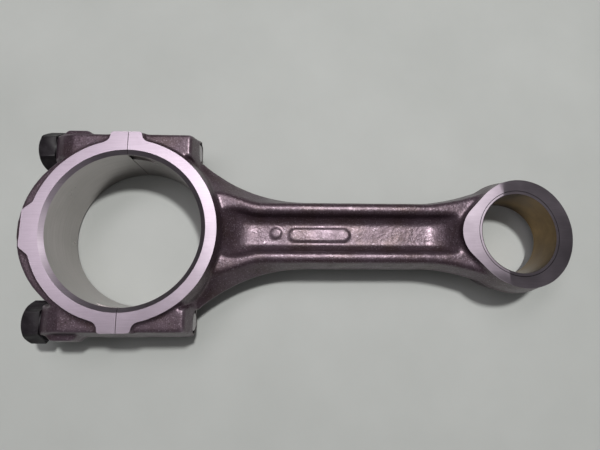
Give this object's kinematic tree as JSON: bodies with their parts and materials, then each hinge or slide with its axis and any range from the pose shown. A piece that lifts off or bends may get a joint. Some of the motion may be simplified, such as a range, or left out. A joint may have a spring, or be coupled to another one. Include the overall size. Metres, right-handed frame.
{
  "type": "connecting rod",
  "caption": "Forged engine connecting rod with an I-section shank, a split big end whose cap is held by two bolts, and a bronze-bushed small end.",
  "frame": {"origin": "centre of the bounding box in plan, on the plane of the big end's back face that the rod lies on", "axes": "+X from the big end towards the small end, +Y across the rod at right angles to both bores, +Z along the bores towards the front faces"},
  "size_m": [0.277, 0.1078, 0.0383],
  "materials": {
    "rod_forging": "dark heat-treated forging with shot-blasted skin; big-end faces, small-end faces and bores machined bright",
    "cap_forging": "dark heat-treated forging with shot-blasted skin; side faces, joint face and bore machined bright",
    "bush_bronze": "bored bronze, slightly tarnished",
    "bolt_steel": "black oxide with a film of oil",
    "dowel_steel": "ground"
  },
  "bodies": {
    "rod": {"rod_body": "rod_forging", "small_end_bush": "bush_bronze", "dowel_pin_upper": "dowel_steel", "dowel_pin_lower": "dowel_steel"},
    "cap": {"big_end_cap": "cap_forging"},
    "upper_bolt": {"cap_bolt_upper": "bolt_steel"},
    "lower_bolt": {"cap_bolt_lower": "bolt_steel"}
  },
  "joints": [
    {"name": "cap_lift", "type": "slide", "parent": "rod", "child": "cap", "axis": [-1, 0, 0], "range_m": [0, 0.04]},
    {"name": "upper_bolt_turn", "type": "hinge", "parent": "cap", "child": "upper_bolt", "pos_m": [-0.12465, 0.0435, 0.01915], "axis": [-1, 0, 0], "range_deg": [0, 11520]},
    {"name": "lower_bolt_turn", "type": "hinge", "parent": "cap", "child": "lower_bolt", "pos_m": [-0.12465, -0.0435, 0.01915], "axis": [-1, 0, 0], "range_deg": [0, 11520]}
  ],
  "couplings": [
    {"joint": "upper_bolt_turn", "follows": "cap_lift", "rad_per_m": 5026.5},
    {"joint": "lower_bolt_turn", "follows": "cap_lift", "rad_per_m": 5026.5}
  ]
}
